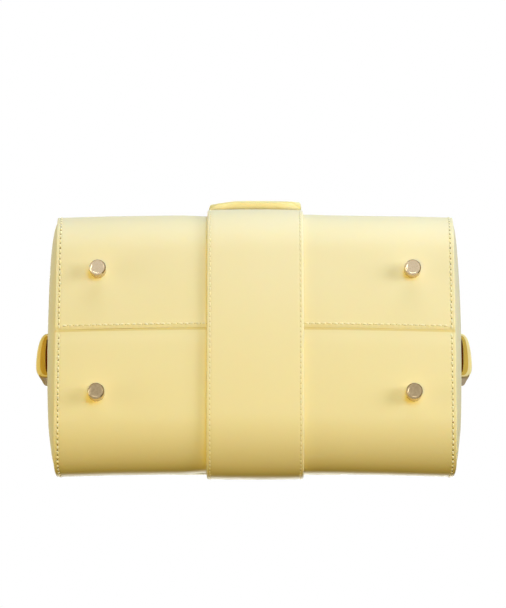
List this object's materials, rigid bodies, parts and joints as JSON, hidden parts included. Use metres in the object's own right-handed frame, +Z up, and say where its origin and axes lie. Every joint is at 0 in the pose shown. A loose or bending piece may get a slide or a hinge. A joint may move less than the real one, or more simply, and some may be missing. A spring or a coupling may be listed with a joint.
{
  "type": "mini tote bag",
  "caption": "Small structured leather tote on metal feet, with a central wrap strap, a fold-over magnetic closure, two rolled handles on rings and a side loop on each gusset.",
  "frame": {"origin": "On the ground under the middle of the bag, at the centre of the bounding box's bottom face.", "axes": "X across the bag's width, Y through its depth with the front and its closure flap towards -Y, Z up through the rim and the handles. The wrap's own middle plane is at Y = 0.0039, because the flap stands out in front."},
  "size_m": [0.2214, 0.1463, 0.2733],
  "materials": {
    "butter_leather": "smooth satin calf leather, pale butter yellow",
    "edge_leather": "smooth satin calf leather with painted edges, butter yellow",
    "lining_suede": "matt microsuede, sand",
    "board_fibre": "pressed leather board, matt",
    "pale_gilt": "polished pale gilt plating",
    "steel": "plain plated steel"
  },
  "bodies": {
    "bag": {"front_panel": "butter_leather", "back_panel": "butter_leather", "left_gusset": "butter_leather", "right_gusset": "butter_leather", "base_board": "board_fibre", "lining": "lining_suede", "front_facing": "butter_leather", "back_facing": "butter_leather", "slip_pocket": "lining_suede", "base_strap": "butter_leather", "snap_socket": "pale_gilt", "left_side_loop": "edge_leather", "right_side_loop": "edge_leather", "foot_front_left": "pale_gilt", "foot_front_right": "pale_gilt", "foot_back_left": "pale_gilt", "foot_back_right": "pale_gilt", "foot_nut_front_left": "steel", "foot_nut_front_right": "steel", "foot_nut_back_left": "steel", "foot_nut_back_right": "steel", "chape_front_left": "edge_leather", "chape_front_right": "edge_leather", "chape_back_left": "edge_leather", "chape_back_right": "edge_leather", "rivet_front_left": "pale_gilt", "rivet_front_right": "pale_gilt", "rivet_back_left": "pale_gilt", "rivet_back_right": "pale_gilt"},
    "bridge": {"closure_bridge": "butter_leather"},
    "flap": {"closure_flap": "edge_leather", "snap_stud": "pale_gilt"},
    "front_grip": {"front_handle": "edge_leather", "ring_front_left": "pale_gilt", "ring_front_right": "pale_gilt"},
    "back_grip": {"back_handle": "edge_leather", "ring_back_left": "pale_gilt", "ring_back_right": "pale_gilt"}
  },
  "joints": [
    {"name": "closure_back_fold", "type": "hinge", "parent": "bag", "child": "bridge", "pos_m": [0, 0.03414, 0.169], "axis": [-1, 0, 0], "range_deg": [0, 60]},
    {"name": "closure_front_fold", "type": "hinge", "parent": "bridge", "child": "flap", "pos_m": [0, -0.03115, 0.169], "axis": [-1, 0, 0], "range_deg": [0, 110]},
    {"name": "front_handle_swing", "type": "hinge", "parent": "bag", "child": "front_grip", "pos_m": [0, -0.02975, 0.16191], "axis": [1, 0, 0], "range_deg": [0, 157]},
    {"name": "back_handle_swing", "type": "hinge", "parent": "bag", "child": "back_grip", "pos_m": [0, 0.03757, 0.16191], "axis": [-1, 0, 0], "range_deg": [0, 157]}
  ]
}
